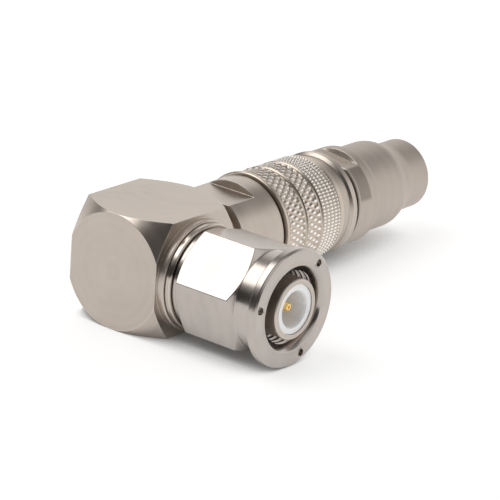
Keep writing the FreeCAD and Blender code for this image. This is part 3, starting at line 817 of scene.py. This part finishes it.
# Seals at the union and the clamp nut: thin moulded rings of dark rubber, squeezed between
# the shoulders of the pieces that screw together there.
dress("neck_seal", rubber(
    "brown_rubber_finish", colour=(0.13, 0.10, 0.075), roughness=0.5))
dress("nut_seal", rubber(
    "black_rubber_finish", colour=(0.02, 0.018, 0.016), roughness=0.5))

# Rear body: smooth turned brass under the warm plating, held to the elbow by the union
# sleeve. Its collar shows between the sleeve and the clamp nut.
dress("rear_body", plated("rear_finish", WARM_PLATING, roughness=0.32, axis="cable", wear=0.6))

# Clamp nut: turned brass, bead-dulled before plating. It has a round head with two wrench
# flats, a plain barrel, a rounded shoulder and the outlet for the cable, and the head is
# darkened between its flats.
CLAMP_PLATING = (0.52, 0.46, 0.41)
CLAMP_FLATS = 12.5
CLAMP_TURN = 6
CLAMP_FRONT = 36.95
CLAMP_BEVEL = 0.15
FLATS_END = 39.75
CLAMP_LAND = 7.2
LAND_START = 40.05
LAND_END = 41.4
CLAMP_BARREL = 6.5
CLAMP_BARREL_START = 42.2
SHOULDER_START = 48.8
SHOULDER_END = 51.6
CLAMP_BORE = 5.22
CLAMP_BORE_END = 48.6
OUTLET_END = 56.4
OUTLET_RADIUS = 3.9
OUTLET_OUTSIDE = 5.2
DARK_PATCH_TURN = math.radians(56.5)
DARK_PATCH_START = (0.0372, 0.0375)
DARK_PATCH_END = (0.0397, 0.0400)


def clamp_angles():
    """Angles round the clamp nut, close together beside the ends of its two flats."""
    half = math.degrees(math.acos(CLAMP_FLATS / 2 / CLAMP_LAND))
    ends = [half - 1.2, half - 0.4, half, half + 0.4, half + 1.2]
    side = [-a for a in reversed(ends)] + [half * step / 10 for step in range(-9, 10)] + ends
    between = 180 - 2 * ends[-1]
    side += [ends[-1] + between * step / 28 for step in range(1, 28)]
    return [CLAMP_TURN + 180 * place + a for place in range(2) for a in side]


def clamp_profile(angle):
    """The clamp nut's bore, its head with the flats, its barrel, shoulder and outlet."""
    slant = abs(math.cos(math.radians(angle - CLAMP_TURN)))
    flat = min(CLAMP_FLATS / 2 / slant, CLAMP_LAND)
    return eased([
        (CLAMP_BORE_END, CLAMP_BORE, 0), (CLAMP_FRONT, CLAMP_BORE, 0),
        (CLAMP_FRONT, flat - CLAMP_BEVEL, 0.03), (CLAMP_FRONT + CLAMP_BEVEL, flat, 0.06),
        (FLATS_END, flat, 0.04), (LAND_START, CLAMP_LAND, 0.2), (LAND_END, CLAMP_LAND, 0.12),
        (CLAMP_BARREL_START, CLAMP_BARREL, 0.25), (SHOULDER_START, CLAMP_BARREL, 0.95),
        (SHOULDER_END, OUTLET_OUTSIDE, 0.95), (OUTLET_END, OUTLET_OUTSIDE, 0.5),
        (OUTLET_END, OUTLET_RADIUS, 0.15)], steps=6) + [Vector((CLAMP_BORE_END, OUTLET_RADIUS))]


def clamp_darkening(finish):
    """Where the head is darkened: between its flats, behind a bright lip."""
    x, y, z = parts_of(finish.tree, finish.place)
    turn = (CROSSING - y).maths("ARCTAN2", z)
    between_flats = ((turn - DARK_PATCH_TURN) * 2).maths("COSINE").step(0.68, 0.82)
    return between_flats * x.step(*DARK_PATCH_START) * (1 - x.step(*DARK_PATCH_END))


clamp_nut = turned_piece("turned_clamp_nut", "cable", clamp_angles(), clamp_profile)
clamp_nut.data.materials.append(plated(
    "clamp_finish", CLAMP_PLATING, roughness=0.5, axis="cable", lines=0.5, wear=0.3,
    edge_radius=0.00006, darkening=clamp_darkening))
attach(clamp_nut, "elbow")
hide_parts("clamp_nut")

# What the clamp nut squeezes, seen only down the outlet: a turned cone and washer of plated
# brass, and a moulded silicone gasket.
INNER_PLATING = (0.60, 0.57, 0.53)

inner_metal = plated("inner_finish", INNER_PLATING, roughness=0.25, axis="cable")
for name in ("braid_clamp", "clamp_washer"):
    dress(name, inner_metal)
dress("clamp_gasket", rubber("clamp_silicone", colour=(0.11, 0.06, 0.04), roughness=0.55))

# Spring clips: two split rings of bare bronze, hidden in their grooves, that hold the
# coupling nut and the union sleeve.
SPRING_BRONZE = (0.66, 0.46, 0.28)

bronze = plated("spring_bronze_finish", SPRING_BRONZE, roughness=0.3, axis="cable")
for name in ("nut_clip", "sleeve_clip"):
    dress(name, bronze)
